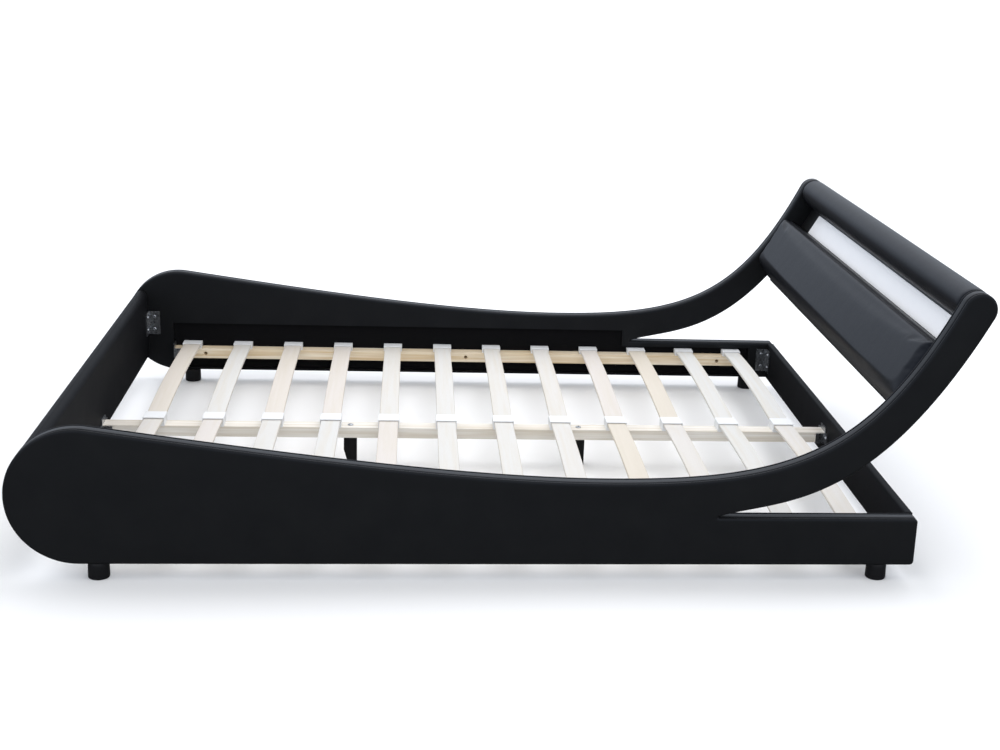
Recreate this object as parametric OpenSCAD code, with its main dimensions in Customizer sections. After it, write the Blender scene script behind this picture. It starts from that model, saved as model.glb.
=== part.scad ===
// Sleigh bed with wave-shaped padded side panels, a lit recess in the headboard and
// a sprung slat base. Millimetres. +Z is up, +Y runs from the foot end to the head end,
// +X is the width. The origin is on the floor, at the middle of the whole bed's box.

/* [Mattress] */
// Width of the mattress that the bed takes
mattress_w = 1524; // [1300:1:1840]
// Length of the mattress that the bed takes
mattress_l = 2032; // [1700:1:2440]
// Room beside the mattress, on each side
side_clear = 5.5; // [3:0.5:15]
// Room at the mattress's foot end and head end together
end_clear = 22; // [10:1:40]

/* [Side panels] */
// Thickness of a padded side panel
panel_t = 45; // [38:1:56]
// Thickness of the board inside a side panel
board_t = 25; // [18:1:28]
// Foam and leather around the board's edges
edge_pad = 8; // [5:0.5:12]
// Height of the panels' lower edge above the floor
base_z = 41; // [30:1:60]
// Radius of the round lobe at the foot end
lobe_r = 163; // [136:1:196]
// How far the lobe's middle stands behind the foot rail's inner face
lobe_inset = 98; // [80:1:110]
// Where the top edge leaves the lobe, in degrees from horizontal
lobe_leave = 82; // [76:1:86]
// Height of the lowest point of the wavy top edge
dip_z = 246; // [230:1:290]
// Distance from the head end to that lowest point
dip_back = 746; // [620:1:880]
// Height of the lower rail under each arm
rail_top_z = 161; // [150:1:180]
// Distance from the head end to the tip of the fork between arm and rail
fork_back = 500; // [420:1:580]

/* [Arms] */
// Radius of the round end of an arm
bulb_r = 41; // [36:1:48]
// How far the round end's middle stands past the head end
bulb_over = 95; // [70:1:115]
// Height of the round end's middle
bulb_z = 681; // [620:1:760]
// Slope of an arm's front edge where it meets the round end, in degrees
arm_front_slope = 64; // [58:1:72]
// Slope of an arm's back edge where it meets the round end, in degrees
arm_back_slope = 63; // [58:1:68]
// Slope of an arm's lower edge at the tip of the fork, in degrees
fork_slope = 20; // [14:1:26]

/* [Foot and head rails] */
// Height of the foot rail's flat top above the floor
foot_rail_top_z = 306; // [280:1:312]
// Thickness of the board inside the foot rail
foot_board_t = 25; // [18:1:30]
// Thickness of the padded head rail
head_rail_t = 20; // [18:1:26]
// Leather and foam on each face of the head rail
head_pad = 2.5; // [2:0.5:4]

/* [Slats] */
// Number of slat rows
slat_rows = 12; // [8:1:16]
// Width of a slat
slat_w = 53; // [45:1:64]
// Thickness of a slat
slat_t = 8; // [7:0.5:10]
// How far a slat bows up in its middle
slat_bow = 12; // [6:1:20]
// From the foot rail's inner face to the first slat's middle line
slat_first = 142; // [120:1:170]
// From the last slat's middle line to the head rail's inner face
slat_last = 129; // [110:1:170]
// Plastic around a slat's end
cap_wall = 3; // [2:0.5:4]
// Room around a slat's end in its plastic cap, above and below together
cap_play = 3; // [2.5:0.5:4]

/* [Slat supports] */
// Width of a side ledger
ledger_w = 38; // [28:1:45]
// Height of a side ledger
ledger_h = 32; // [25:1:36]
// Height of the ledgers' top above the floor
ledger_top = 121; // [112:1:126]
// From the foot rail to the ledgers' foot end
ledger_from_foot = 87; // [70:1:110]
// From the ledgers' head end to the head rail
ledger_from_head = 97; // [80:1:110]
// Width of the centre rail
centre_w = 50; // [38:1:60]
// Height of the centre rail
centre_h = 30; // [25:1:36]
// How far the centre rail's top lies below the ledgers' top
centre_drop = 8; // [6:1:12]
// Width of a centre leg at its top
leg_w = 36; // [30:1:44]
// Width of a centre leg at the floor
leg_toe = 23; // [18:1:28]
// From the middle of the slat before it to the middle of a centre leg
leg_past_slat = 54.5; // [48:0.5:60]

/* [Headboard] */
// How far the headboard leans back from upright, in degrees
hb_lean = 30; // [26:0.5:33]
// Depth from the roll's middle forward to the cushion's face
hb_front = 41; // [36:1:44]
// Depth from the roll's middle back to the rear cover
hb_back = 41; // [40:0.5:44]
// Length down the slope from the roll's middle to the cushion's top
cushion_top = 122; // [110:1:130]
// Length down the slope from the roll's middle to the cushion's front lower edge
cushion_low = 278; // [262:1:300]
// Length down the slope from the roll's middle to the headboard's back lower edge
hb_low = 321; // [300:1:340]
// Room for the light strip behind the recess's back
strip_room = 3; // [3:0.5:12]
// Dark border between an arm and the light's diffuser
light_inset = 100; // [60:1:160]
// Length down the slope from the roll's middle to the top of the light's diffuser
light_top = 51; // [46:1:60]
// Height of the light's diffuser
light_h = 67; // [50:1:68]

/* [Feet and fasteners] */
// Diameter of an outer foot
foot_d = 50; // [40:1:54]
// From the lobe's middle to the front feet
foot_front_in = 39; // [20:1:70]
// From the head end to the rear feet
foot_rear_in = 85; // [60:1:120]
// Diameter of the feet's studs and of the headboard's bolts
bolt_d = 8; // [6:1:10]
// Diameter of the corner bolts
corner_bolt_d = 6; // [5:0.5:8]
// Height of a corner bracket
bracket_h = 76; // [60:1:84]
// Width of each leg of a corner bracket
bracket_w = 38; // [32:1:44]
// Thickness of the brackets' steel
bracket_t = 3; // [2:0.5:4]

/* [Hidden] */
// clearance between pieces that fit together, on each side
fit = 0.2;
// clearance around a bolt in its hole
bolt_play = 0.3;
// overshoot of a cut past the face that it opens
over = 1;
// thickness of the dark cloth lining inside the side panels
lining_t = 1.5;
// the recess's two heights, and where it stops before the head end
lining_high_z = 198;
lining_low_z = 143;
lining_end_back = 86;
// handle lengths of the curves: lobe to dip, dip to arm end, arm end to fork
wave_from_lobe = 430;
wave_to_dip = 335;
arm_from_dip = 443;
arm_to_bulb = 424;
back_from_bulb = 565;
back_to_fork = 150;
// points along each curve
wave_steps = 14;
arm_steps = 22;

pad_t = (panel_t - board_t) / 2;
inner_w = mattress_w + 2 * side_clear;
inner_l = mattress_l + end_clear;
half_in = inner_w / 2;
half_out = half_in + panel_t;
overall_l = lobe_r - lobe_inset + inner_l + head_rail_t + bulb_over + bulb_r;
lobe_y = lobe_r - overall_l / 2;
lobe_z = base_z + lobe_r;
foot_in = lobe_y - lobe_inset;
head_in = foot_in + inner_l;
head_end = head_in + head_rail_t;
bulb_y = head_end + bulb_over;
board_x0 = half_in + pad_t;
board_x1 = board_x0 + board_t;
slat_pitch = (inner_l - slat_first - slat_last) / (slat_rows - 1);
lining_x = board_x0 - lining_t;
ledger_x = lining_x - ledger_w;
centre_top = ledger_top - centre_drop;
pocket_z = ledger_top + cap_wall;
pocket_h = slat_t + cap_play;
cap_top = pocket_z + pocket_h + cap_wall;
cap_w = slat_w + 2 * cap_wall;
holder_l = 56;
holder_web = 4;
slat_end_gap = 1;
slat_x0 = holder_web / 2 + slat_end_gap;
slat_x1 = lining_x - fit - cap_wall - slat_end_gap;
slat_span = slat_x1 - slat_x0;
slat_r = (slat_span * slat_span / 4 + slat_bow * slat_bow) / (2 * slat_bow);
slat_half_angle = asin(slat_span / 2 / slat_r);
peg_d = 8;
peg_l = 10;
ledger_start = foot_in + ledger_from_foot;
ledger_end = head_in - ledger_from_head;
lining_start = ledger_from_foot - bracket_t - 4;
ledger_screw_count = 5;
ledger_screw_first = ledger_start + 98;
ledger_screw_last = ledger_end - 81;
foot_x = board_x0 + board_t / 2 - 4;
stud_down = 20;
stud_up = 32;
foot_ys = [lobe_y + foot_front_in, head_end - foot_rear_in];
// the centre legs stand a third and two thirds of the way along the slat rows
leg_rows = [round(slat_rows / 3), round(slat_rows * 2 / 3)];
leg_ys = [for (r = leg_rows) slat_y(r - 1) + leg_past_slat];
leg_bolt_in = 38;
// lengths of the bolts into a thick panel and into the thin head rail
thick_reach = 28;
thin_reach = 14;
bracket_bolt_in = 17;
foot_bracket_down = 70;
head_bracket_down = 20;
foot_bracket_z = foot_rail_top_z - foot_bracket_down - bracket_h;
head_bracket_z = rail_top_z - head_bracket_down - bracket_h;
// where the foot rail's board starts above the panels' lower edge and ends below the rail's top
foot_board_up = 58;
foot_board_down = 20;
hb_half = half_in - fit * 5;
rear_cover_t = 2;
// how far the frame's board stops above the rear cover's lower edge
board_up = 10;
// where the recess's liner starts, behind the roll's middle
liner_front = 5;
hb_board_t = 6;
liner_t = 3;
hb_board_v = hb_back - rear_cover_t - fit - hb_board_t;
recess_back = hb_board_v - strip_room - liner_t;
light_mid = -light_top - light_h / 2;
roll_r = bulb_r - 1;
diffuser_half = half_in - light_inset;
strip_half = diffuser_half - 27;
hb_bolt_sites = [[0, 0], [12, -160], [12, -235]];
// the power socket: a neck through the board and a collar behind it
inlet_in = 12;
inlet_neck_d = 11;
inlet_neck_in = 2.4;
inlet_collar_d = 18;
inlet_collar_t = 11;
inlet_bore_d = 5.6;
inlet_bore_l = 9;

SLAT_NODES = [for (i = [1 : slat_rows]) str("slat_row_", i)];

// ---- outlines, as points [y, z] ----

function bezier(a, b, c, d, n) = [
    for (i = [0 : n])
        let (t = i / n, s = 1 - t)
        s * s * s * a + 3 * s * s * t * b + 3 * s * t * t * c + t * t * t * d
];

function arc(cy, cz, r, a0, a1, n) = [
    for (i = [0 : n])
        let (a = a0 + (a1 - a0) * i / n)
        [cy + r * cos(a), cz + r * sin(a)]
];

function ray(a) = [cos(a), sin(a)];

// points moved sideways by d, to the right of the way they run
function shifted(p, d) = [
    for (i = [0 : len(p) - 1])
        let (
            q = p[min(i + 1, len(p) - 1)] - p[max(i - 1, 0)],
            m = norm(q)
        )
        p[i] + d * [q[1] / m, -q[0] / m]
];

// top edge from the lobe to the dip and up to the arm's round end
function top_edge() =
    let (
        leave = [lobe_y, lobe_z] + lobe_r * ray(lobe_leave),
        dip = [head_end - dip_back, dip_z],
        meet = [bulb_y, bulb_z] + bulb_r * ray(arm_front_slope + 90)
    )
    concat(
        bezier(leave, leave + wave_from_lobe * ray(lobe_leave - 90),
            dip - [wave_to_dip, 0], dip, wave_steps),
        [for (i = [1 : arm_steps])
            bezier(dip, dip + [arm_from_dip, 0],
                meet - arm_to_bulb * ray(arm_front_slope), meet, arm_steps)[i]]
    );

// back edge from the arm's round end down to the tip of the fork
function back_edge() =
    let (
        leave = [bulb_y, bulb_z] + bulb_r * ray(arm_back_slope - 90),
        tip = [head_end - fork_back, rail_top_z]
    )
    bezier(leave, leave - back_from_bulb * ray(arm_back_slope),
        tip + back_to_fork * ray(fork_slope), tip, arm_steps);

// whole outline of a side panel, drawn in by d on every edge
function side_outline(d) = concat(
    arc(lobe_y, lobe_z, lobe_r - d, 270, lobe_leave + 5, 40),
    shifted(top_edge(), d),
    arc(bulb_y, bulb_z, bulb_r - d, arm_front_slope + 80, arm_back_slope - 80, 20),
    shifted(back_edge(), d),
    d > 0 ? [[head_end - fork_back - d, rail_top_z]] : [],
    [
        [head_end - fork_back, rail_top_z - d],
        [head_end - d, rail_top_z - d],
        [head_end - d, base_z + d]
    ]
);

// the part of a side panel's inner face that is lined with cloth, drawn in by d
function lining_outline(d) =
    let (
        y0 = foot_in + lining_start + d,
        y1 = head_end - fork_back - 20 - d,
        y2 = head_end - lining_end_back - d,
        z0 = base_z + edge_pad + d
    )
    [
        [y0, z0],
        [y0, lining_high_z - d],
        [y1, lining_high_z - d],
        [y1, lining_low_z - d],
        [y2, lining_low_z - d],
        [y2, z0]
    ];

// ---- placing helpers ----

// a [y, z] outline given a thickness from x0 to x1
module slab(x0, x1) {
    translate([x0, 0, 0])
        rotate([90, 0, 90])
        linear_extrude(x1 - x0)
        children();
}

module other_side() {
    mirror([1, 0, 0])
        children();
}

// the headboard's own frame: y is depth, z runs up the slope, from the roll's middle
module on_headboard() {
    translate([0, bulb_y, bulb_z])
        rotate([-hb_lean, 0, 0])
        children();
}

module x_cylinder(x0, x1, d) {
    translate([x0, 0, 0])
        rotate([0, 90, 0])
        cylinder(h = x1 - x0, d = d, $fn = 48);
}

module block(lo, hi) {
    translate(lo)
        cube(hi - lo);
}

// ---- bolt sites, shared by the bolts and by their holes ----

module headboard_bolt(play) {
    for (s = hb_bolt_sites)
        on_headboard()
        translate([0, s[0], s[1]]) {
            x_cylinder(hb_half - 60, board_x1 - fit, bolt_d + 2 * play);
            x_cylinder(board_x1 - 7 - play, board_x1 - fit, 14 + 2 * play);
        }
}

module corner_bolt(reach, play) {
    cylinder(h = reach, d = corner_bolt_d + 2 * play, $fn = 32);
    if (play == 0)
        translate([0, 0, -3.5])
        cylinder(h = 3.5, d = corner_bolt_d * 2, $fn = 32);
}

// the four bolts of a right-hand corner bracket; dir is 1 at the head end
module bracket_bolts(face_y, z0, dir, end_reach, play) {
    out = bracket_t + (bracket_w - bracket_t) / 2;
    for (z = [z0 + bracket_bolt_in, z0 + bracket_h - bracket_bolt_in]) {
        translate([half_in - bracket_t, face_y - dir * out, z])
            rotate([0, 90, 0])
            corner_bolt(thick_reach, play);
        translate([half_in - out, face_y - dir * bracket_t, z])
            rotate([-90 * dir, 0, 0])
            corner_bolt(end_reach, play);
    }
}

module right_corner_bolts(play) {
    bracket_bolts(foot_in, foot_bracket_z, -1, thick_reach, play);
    bracket_bolts(head_in, head_bracket_z, 1, thin_reach, play);
}

function ledger_screw_y(i) =
    ledger_screw_first + (ledger_screw_last - ledger_screw_first) * i / (ledger_screw_count - 1);

// screws whose heads lie deep in counterbored holes in the ledger
module ledger_screw(play) {
    for (i = [0 : ledger_screw_count - 1])
        translate([0, ledger_screw_y(i), ledger_top - ledger_h / 2]) {
            x_cylinder(ledger_x + 14, board_x0 + 20, 5 + 2 * play);
            x_cylinder(ledger_x + 11, ledger_x + 14.5, 9 + 2 * play);
        }
}

// ---- side panels ----

module side_cover() {
    color("#1b1c1e")
        difference() {
            slab(half_in, half_out)
                polygon(side_outline(0));
            slab(board_x0, board_x1)
                polygon(side_outline(edge_pad));
            slab(half_in - over, board_x0 + over)
                polygon(lining_outline(0));
            headboard_bolt(bolt_play);
            right_corner_bolts(bolt_play);
            for (y = foot_ys)
                translate([foot_x, y, base_z - over])
                cylinder(h = edge_pad + 2 * over, d = bolt_d + 2 * bolt_play, $fn = 48);
        }
}

module side_board() {
    color("#c9a877")
        difference() {
            slab(board_x0 + fit, board_x1 - fit)
                polygon(side_outline(edge_pad + fit));
            headboard_bolt(bolt_play);
            right_corner_bolts(bolt_play);
            ledger_screw(bolt_play);
            for (y = foot_ys)
                translate([foot_x, y, base_z])
                cylinder(h = stud_up + over, d = bolt_d + 2 * bolt_play, $fn = 48);
        }
}

module side_lining() {
    color("#111214")
        difference() {
            slab(lining_x, board_x0)
                polygon(lining_outline(fit));
            ledger_screw(bolt_play);
        }
}

module side_cover_left() other_side() side_cover();
module side_cover_right() side_cover();
module side_board_left() other_side() side_board();
module side_board_right() side_board();
module side_lining_left() other_side() side_lining();
module side_lining_right() side_lining();

// ---- slat supports ----

module ledger() {
    color("#e0c79c")
        difference() {
            block([ledger_x, ledger_start, ledger_top - ledger_h],
                [lining_x, ledger_end, ledger_top]);
            ledger_screw(bolt_play);
            for (i = [0 : ledger_screw_count - 1])
                translate([0, ledger_screw_y(i), ledger_top - ledger_h / 2])
                x_cylinder(ledger_x - over, ledger_x + 12, 12);
            for (i = [0 : slat_rows - 1])
                translate([cap_mid_x(), slat_y(i), ledger_top - peg_l - over])
                cylinder(h = peg_l + 2 * over, d = peg_d + 2 * fit, $fn = 32);
        }
}

function slat_y(i) = foot_in + slat_first + i * slat_pitch;

function cap_mid_x() = ledger_x + ledger_w / 2;

module ledger_left() other_side() ledger();
module ledger_right() ledger();

module ledger_screws() {
    color("#8a6a44") {
        ledger_screw(0);
        other_side()
            ledger_screw(0);
    }
}

// a steel angle under and over each ledger's foot end
module ledger_clip() {
    block([ledger_x - bracket_t, ledger_start - bracket_t, ledger_top - ledger_h],
        [lining_x - fit, ledger_start - fit, ledger_top + 16]);
    block([ledger_x - bracket_t, ledger_start - bracket_t, ledger_top - ledger_h],
        [ledger_x - fit, ledger_start + 22, ledger_top]);
}

module ledger_end_clips() {
    color("#c8ccd2") {
        ledger_clip();
        other_side()
            ledger_clip();
    }
}

module centre_rail() {
    color("#ead9bd")
        difference() {
            block([-centre_w / 2, foot_in + bracket_t + fit, centre_top - centre_h],
                [centre_w / 2, head_in - bracket_t - fit, centre_top]);
            for (y = leg_ys)
                translate([0, y, centre_top - centre_h - over])
                cylinder(h = centre_h + 2 * over, d = bolt_d + 2 * bolt_play, $fn = 48);
            for (i = [0 : slat_rows - 1])
                translate([0, slat_y(i), centre_top - peg_l - over])
                cylinder(h = peg_l + 2 * over, d = peg_d + 2 * fit, $fn = 32);
        }
}

// a steel hanger whose back plate lies on the rail's face at face_y
module rail_bracket(face_y, dir) {
    z0 = centre_top - centre_h - fit - bracket_t;
    reach = 30;
    inner = centre_w / 2 + fit;
    color("#c8ccd2")
        difference() {
            translate([0, face_y, 0])
                mirror([0, dir > 0 ? 1 : 0, 0]) {
                    block([-inner - 22, 0, z0], [inner + 22, bracket_t, centre_top]);
                    block([-inner, 0, z0], [inner, bracket_t, centre_top + 14]);
                    block([-inner - bracket_t, 0, z0], [inner + bracket_t, reach, z0 + bracket_t]);
                    block([-inner - bracket_t, 0, z0], [-inner, reach, centre_top - 2]);
                    block([inner, 0, z0], [inner + bracket_t, reach, centre_top - 2]);
                }
            rail_screws(face_y, dir, bolt_play);
        }
}

module rail_screws(face_y, dir, play) {
    for (x = [-centre_w / 2 - 12, centre_w / 2 + 12])
        translate([x, face_y - dir * bracket_t, centre_top - centre_h / 2])
        rotate([-90 * dir, 0, 0])
        corner_bolt(thin_reach, play);
}

module rail_bracket_foot() rail_bracket(foot_in, -1);
module rail_bracket_head() rail_bracket(head_in, 1);

module rail_bracket_screws() {
    color("#9aa0a8") {
        rail_screws(foot_in, -1, 0);
        rail_screws(head_in, 1, 0);
    }
}

// a block whose foot-end side tapers in towards the floor
module centre_leg(y) {
    leg_top = centre_top - centre_h;
    color("#17181a")
        difference() {
            slab(-leg_w / 2, leg_w / 2)
                polygon([
                    [y - leg_w / 2, leg_top],
                    [y - leg_w / 2, leg_top * 0.55],
                    [y + leg_w / 2 - leg_toe, 0],
                    [y + leg_w / 2, 0],
                    [y + leg_w / 2, leg_top]
                ]);
            translate([0, y, leg_top - leg_bolt_in - over])
                cylinder(h = leg_bolt_in + 2 * over, d = bolt_d + 2 * bolt_play, $fn = 48);
        }
}

module centre_leg_foot() centre_leg(leg_ys[0]);
module centre_leg_head() centre_leg(leg_ys[1]);

module centre_leg_bolts() {
    color("#9aa0a8")
        for (y = leg_ys)
            translate([0, y, 0]) {
                translate([0, 0, centre_top - centre_h - leg_bolt_in])
                    cylinder(h = centre_h + leg_bolt_in, d = bolt_d, $fn = 48);
                translate([0, 0, centre_top])
                    cylinder(h = 3, d = bolt_d * 2, $fn = 48);
            }
}

// ---- foot rail and head rail ----

// a D-shaped board that follows the lobe outside and is flat inside
function foot_rail_outline() =
    let (
        r = lobe_r - 1,
        low = asin(lobe_inset / r)
    )
    concat(
        [for (p = arc(lobe_y, lobe_z, r, 270 - low, 90 + low, 36))
            if (p[1] < foot_rail_top_z - 6)
                p],
        [
            [foot_in - 24, foot_rail_top_z],
            [foot_in - 6, foot_rail_top_z],
            [foot_in, foot_rail_top_z - 6]
        ]
    );

// the board's section, cut outside by the lobe's curve; drawn in by d
module foot_board_profile(d) {
    z0 = base_z + foot_board_up;
    z1 = foot_rail_top_z - foot_board_down;
    intersection() {
        translate([foot_in - edge_pad - foot_board_t + d, z0 + d])
            square([foot_board_t - 2 * d, z1 - z0 - 2 * d]);
        translate([lobe_y, lobe_z])
            circle(r = lobe_r - edge_pad - d, $fn = 96);
    }
}

module both_corner_bolts(play) {
    right_corner_bolts(play);
    other_side()
        right_corner_bolts(play);
}

module foot_rail_cover() {
    color("#1b1c1e")
        difference() {
            slab(-half_in + fit, half_in - fit)
                polygon(foot_rail_outline());
            slab(-half_in - over, half_in + over)
                foot_board_profile(0);
            both_corner_bolts(bolt_play);
            rail_screws(foot_in, -1, bolt_play);
        }
}

module foot_rail_board() {
    color("#c9a877")
        difference() {
            slab(-half_in + fit, half_in - fit)
                foot_board_profile(fit);
            both_corner_bolts(bolt_play);
            rail_screws(foot_in, -1, bolt_play);
        }
}

module head_rail_cover() {
    color("#1b1c1e")
        difference() {
            block([-half_in + fit, head_in, base_z], [half_in - fit, head_end, rail_top_z]);
            block([-half_in - over, head_in + head_pad, base_z + head_pad],
                [half_in + over, head_end - head_pad, rail_top_z - head_pad]);
            both_corner_bolts(bolt_play);
            rail_screws(head_in, 1, bolt_play);
        }
}

module head_rail_board() {
    color("#c9a877")
        difference() {
            block([-half_in + fit, head_in + head_pad + fit, base_z + head_pad + fit],
                [half_in - fit, head_end - head_pad - fit, rail_top_z - head_pad - fit]);
            both_corner_bolts(bolt_play);
            rail_screws(head_in, 1, bolt_play);
        }
}

// ---- corner brackets ----

// a right-hand steel angle; dir is 1 at the head end and -1 at the foot end
module corner_bracket(face_y, z0, dir) {
    color("#c8ccd2")
        difference() {
            translate([half_in, face_y, z0])
                mirror([0, dir > 0 ? 1 : 0, 0]) {
                    block([-bracket_t, 0, 0], [0, bracket_w, bracket_h]);
                    block([-bracket_w, 0, 0], [0, bracket_t, bracket_h]);
                }
            right_corner_bolts(bolt_play);
        }
}

module corner_bracket_foot_right() corner_bracket(foot_in, foot_bracket_z, -1);
module corner_bracket_head_right() corner_bracket(head_in, head_bracket_z, 1);
module corner_bracket_foot_left() other_side() corner_bracket_foot_right();
module corner_bracket_head_left() other_side() corner_bracket_head_right();

module corner_bolts() {
    color("#9aa0a8")
        both_corner_bolts(0);
}

// ---- slats ----

// one bowed half slat on the right side, between its holder and its cap
module half_slat(y) {
    translate([
        (slat_x0 + slat_x1) / 2,
        y + slat_w / 2,
        pocket_z + 0.5 - slat_r * cos(slat_half_angle)
    ])
        rotate([90, 0, 0])
        rotate([0, 0, 90 - slat_half_angle])
        rotate_extrude(angle = 2 * slat_half_angle, $fn = 720)
        translate([slat_r, 0])
        square([slat_t, slat_w]);
}

module slat_row(i) {
    color("#efe3d0") {
        half_slat(slat_y(i));
        other_side()
            half_slat(slat_y(i));
    }
}

// caps sit on a ledger, each with a pocket for a slat's end and a peg in the ledger
module slat_caps() {
    color("white")
        for (i = [0 : slat_rows - 1])
            difference() {
                union() {
                    block([ledger_x + 1, slat_y(i) - cap_w / 2, ledger_top],
                        [lining_x - fit, slat_y(i) + cap_w / 2, cap_top]);
                    translate([cap_mid_x(), slat_y(i), ledger_top - peg_l])
                        cylinder(h = peg_l + 1, d = peg_d, $fn = 32);
                }
                block([ledger_x - over, slat_y(i) - slat_w / 2 - fit, pocket_z],
                    [slat_x1 + slat_end_gap, slat_y(i) + slat_w / 2 + fit, pocket_z + pocket_h]);
            }
}

module slat_caps_left() other_side() slat_caps();
module slat_caps_right() slat_caps();

// double holders on the centre rail, one pocket for each half slat of a row
module slat_holders() {
    color("white")
        for (i = [0 : slat_rows - 1])
            difference() {
                union() {
                    block([-holder_l / 2, slat_y(i) - cap_w / 2, centre_top],
                        [holder_l / 2, slat_y(i) + cap_w / 2, cap_top]);
                    translate([0, slat_y(i), centre_top - peg_l])
                        cylinder(h = peg_l + 1, d = peg_d, $fn = 32);
                }
                for (x = [-holder_l / 2 - over, holder_web / 2])
                    block([x, slat_y(i) - slat_w / 2 - fit, pocket_z],
                        [x + holder_l / 2 + over - holder_web / 2,
                            slat_y(i) + slat_w / 2 + fit, pocket_z + pocket_h]);
            }
}

// ---- feet ----

module foot(side, y) {
    color("#17181a")
        translate([side * foot_x, y, 0])
        rotate_extrude($fn = 96)
        polygon([
            [0, 0],
            [foot_d / 2 - 4, 0],
            [foot_d / 2 - 1, 1.5],
            [foot_d / 2, 5],
            [foot_d / 2, base_z],
            [bolt_d / 2 + fit, base_z],
            [bolt_d / 2 + fit, base_z - stud_down - over],
            [0, base_z - stud_down - over]
        ]);
}

module foot_front_left() foot(-1, foot_ys[0]);
module foot_front_right() foot(1, foot_ys[0]);
module foot_rear_left() foot(-1, foot_ys[1]);
module foot_rear_right() foot(1, foot_ys[1]);

module foot_studs() {
    color("#9aa0a8")
        for (side = [-1, 1], y = foot_ys)
            translate([side * foot_x, y, base_z - stud_down])
            cylinder(h = stud_down + stud_up, d = bolt_d, $fn = 48);
}

// ---- headboard; profiles are [depth, up the slope] from the roll's middle ----

// the frame's profile: rear board and four rails, grown by d
module frame_profile(d) {
    rails = [
        [-12, -18, 36],
        [4, -bulb_r + 4, 10],
        [-10, -cushion_top - 24, 16],
        [-10, -cushion_low + 6, 16]
    ];
    translate([hb_board_v - d, -hb_low + board_up - d])
        square([hb_board_t + d, hb_low - board_up + 6 + 2 * d]);
    for (r = rails)
        translate([r[0] - d, r[1] - d])
        square([hb_board_v - r[0] + 2 * d, r[2] + 2 * d]);
}

module headboard_frame() {
    color("#c9a877")
        difference() {
            on_headboard() {
                slab(-hb_half, hb_half)
                    frame_profile(0);
                cheeks(0);
            }
            headboard_bolt(bolt_play);
            other_side()
                headboard_bolt(bolt_play);
            on_headboard()
                inlet_neck(fit);
        }
}

module headboard_roll() {
    color("#2a2c31")
        on_headboard()
        difference() {
            slab(-hb_half, hb_half)
                difference() {
                    union() {
                        circle(r = roll_r, $fn = 96);
                        translate([0, -bulb_r])
                            square([hb_board_v - fit, bulb_r]);
                    }
                    frame_profile(fit);
                }
        }
}

module headboard_cushion() {
    corner = 12;
    color("#2a2c31")
        difference() {
            on_headboard() {
                difference() {
                    slab(-hb_half, hb_half)
                        polygon([
                            [-hb_front + corner, -cushion_top],
                            [-hb_front + corner * 0.3, -cushion_top - corner * 0.3],
                            [-hb_front, -cushion_top - corner],
                            [-hb_front, -cushion_low + corner],
                            [-hb_front + corner * 0.5, -cushion_low],
                            [-hb_front + corner * 1.8, -cushion_low - corner],
                            [hb_back - rear_cover_t - fit, -hb_low + 2],
                            [hb_back - rear_cover_t - fit, -hb_low + board_up],
                            [hb_board_v - fit, -hb_low + board_up],
                            [hb_board_v - fit, -cushion_top]
                        ]);
                    slab(-hb_half - over, hb_half + over)
                        frame_profile(fit);
                    cheeks(fit);
                }
            }
            headboard_bolt(bolt_play);
            other_side()
                headboard_bolt(bolt_play);
        }
}

// upright blocks at the frame's ends and middle, grown by d
module cheeks(d) {
    t = 26;
    for (x = [-hb_half, -t / 2, hb_half - t])
        block([x - d, -10 - d, -cushion_low + 10], [x + t + d, hb_board_v + 1, -cushion_top - 10]);
}

module headboard_rear_cover() {
    color("#1b1c1e")
        on_headboard()
        difference() {
            block([-hb_half, hb_back - rear_cover_t, -hb_low], [hb_half, hb_back, -12]);
            inlet_neck(fit);
        }
}

// a U-shaped liner with a window for the diffuser in its back
module recess_liner() {
    tall = cushion_top - bulb_r - 2 * fit;
    color("#141517")
        on_headboard()
        difference() {
            slab(-hb_half, hb_half)
                difference() {
                    translate([liner_front, -cushion_top + fit])
                        square([recess_back + liner_t - liner_front, tall]);
                    translate([liner_front - over, -cushion_top + fit + liner_t])
                        square([recess_back + over - liner_front, tall - 2 * liner_t]);
                }
            diffuser_block(fit);
        }
}

module diffuser_block(d) {
    block([-diffuser_half - d, recess_back - 0.5, light_mid - light_h / 2 - d],
        [diffuser_half + d, recess_back + liner_t - (d > 0 ? -over : 0), light_mid + light_h / 2 + d]);
}

module light_diffuser() {
    color("white")
        on_headboard()
        diffuser_block(0);
}

// a printed strip on the rear board with a row of light chips
module led_strip() {
    strip_w = 12;
    strip_t = 1.2;
    chip = 5;
    chip_t = 1.2;
    chips = 24;
    pitch = 2 * strip_half / chips;
    v1 = hb_board_v - fit;
    v0 = v1 - strip_t;
    color("#f4f1e6")
        on_headboard() {
            block([-strip_half, v0, light_mid - strip_w / 2],
                [strip_half, v1, light_mid + strip_w / 2]);
            for (i = [0 : chips - 1])
                translate([(i + 0.5) * pitch - strip_half - chip / 2, v0 - chip_t, light_mid - chip / 2])
                cube([chip, chip_t + over / 4, chip]);
        }
}

// the socket's neck through the board and the rear cover, grown by d
module inlet_neck(d) {
    long = hb_back - hb_board_v + inlet_neck_in + over;
    translate([diffuser_half - inlet_in, hb_board_v - inlet_neck_in - d, light_mid])
        rotate([-90, 0, 0])
        cylinder(h = long + 2 * d, d = inlet_neck_d + 2 * d, $fn = 48);
}

module power_inlet() {
    color("#0d0d0e")
        on_headboard()
        difference() {
            union() {
                inlet_neck(0);
                translate([diffuser_half - inlet_in, hb_back + fit, light_mid])
                    rotate([-90, 0, 0])
                    cylinder(h = inlet_collar_t, d = inlet_collar_d, $fn = 48);
            }
            translate([diffuser_half - inlet_in, hb_back + fit + inlet_collar_t - inlet_bore_l, light_mid])
                rotate([-90, 0, 0])
                cylinder(h = inlet_bore_l + over, d = inlet_bore_d, $fn = 48);
        }
}

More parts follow.
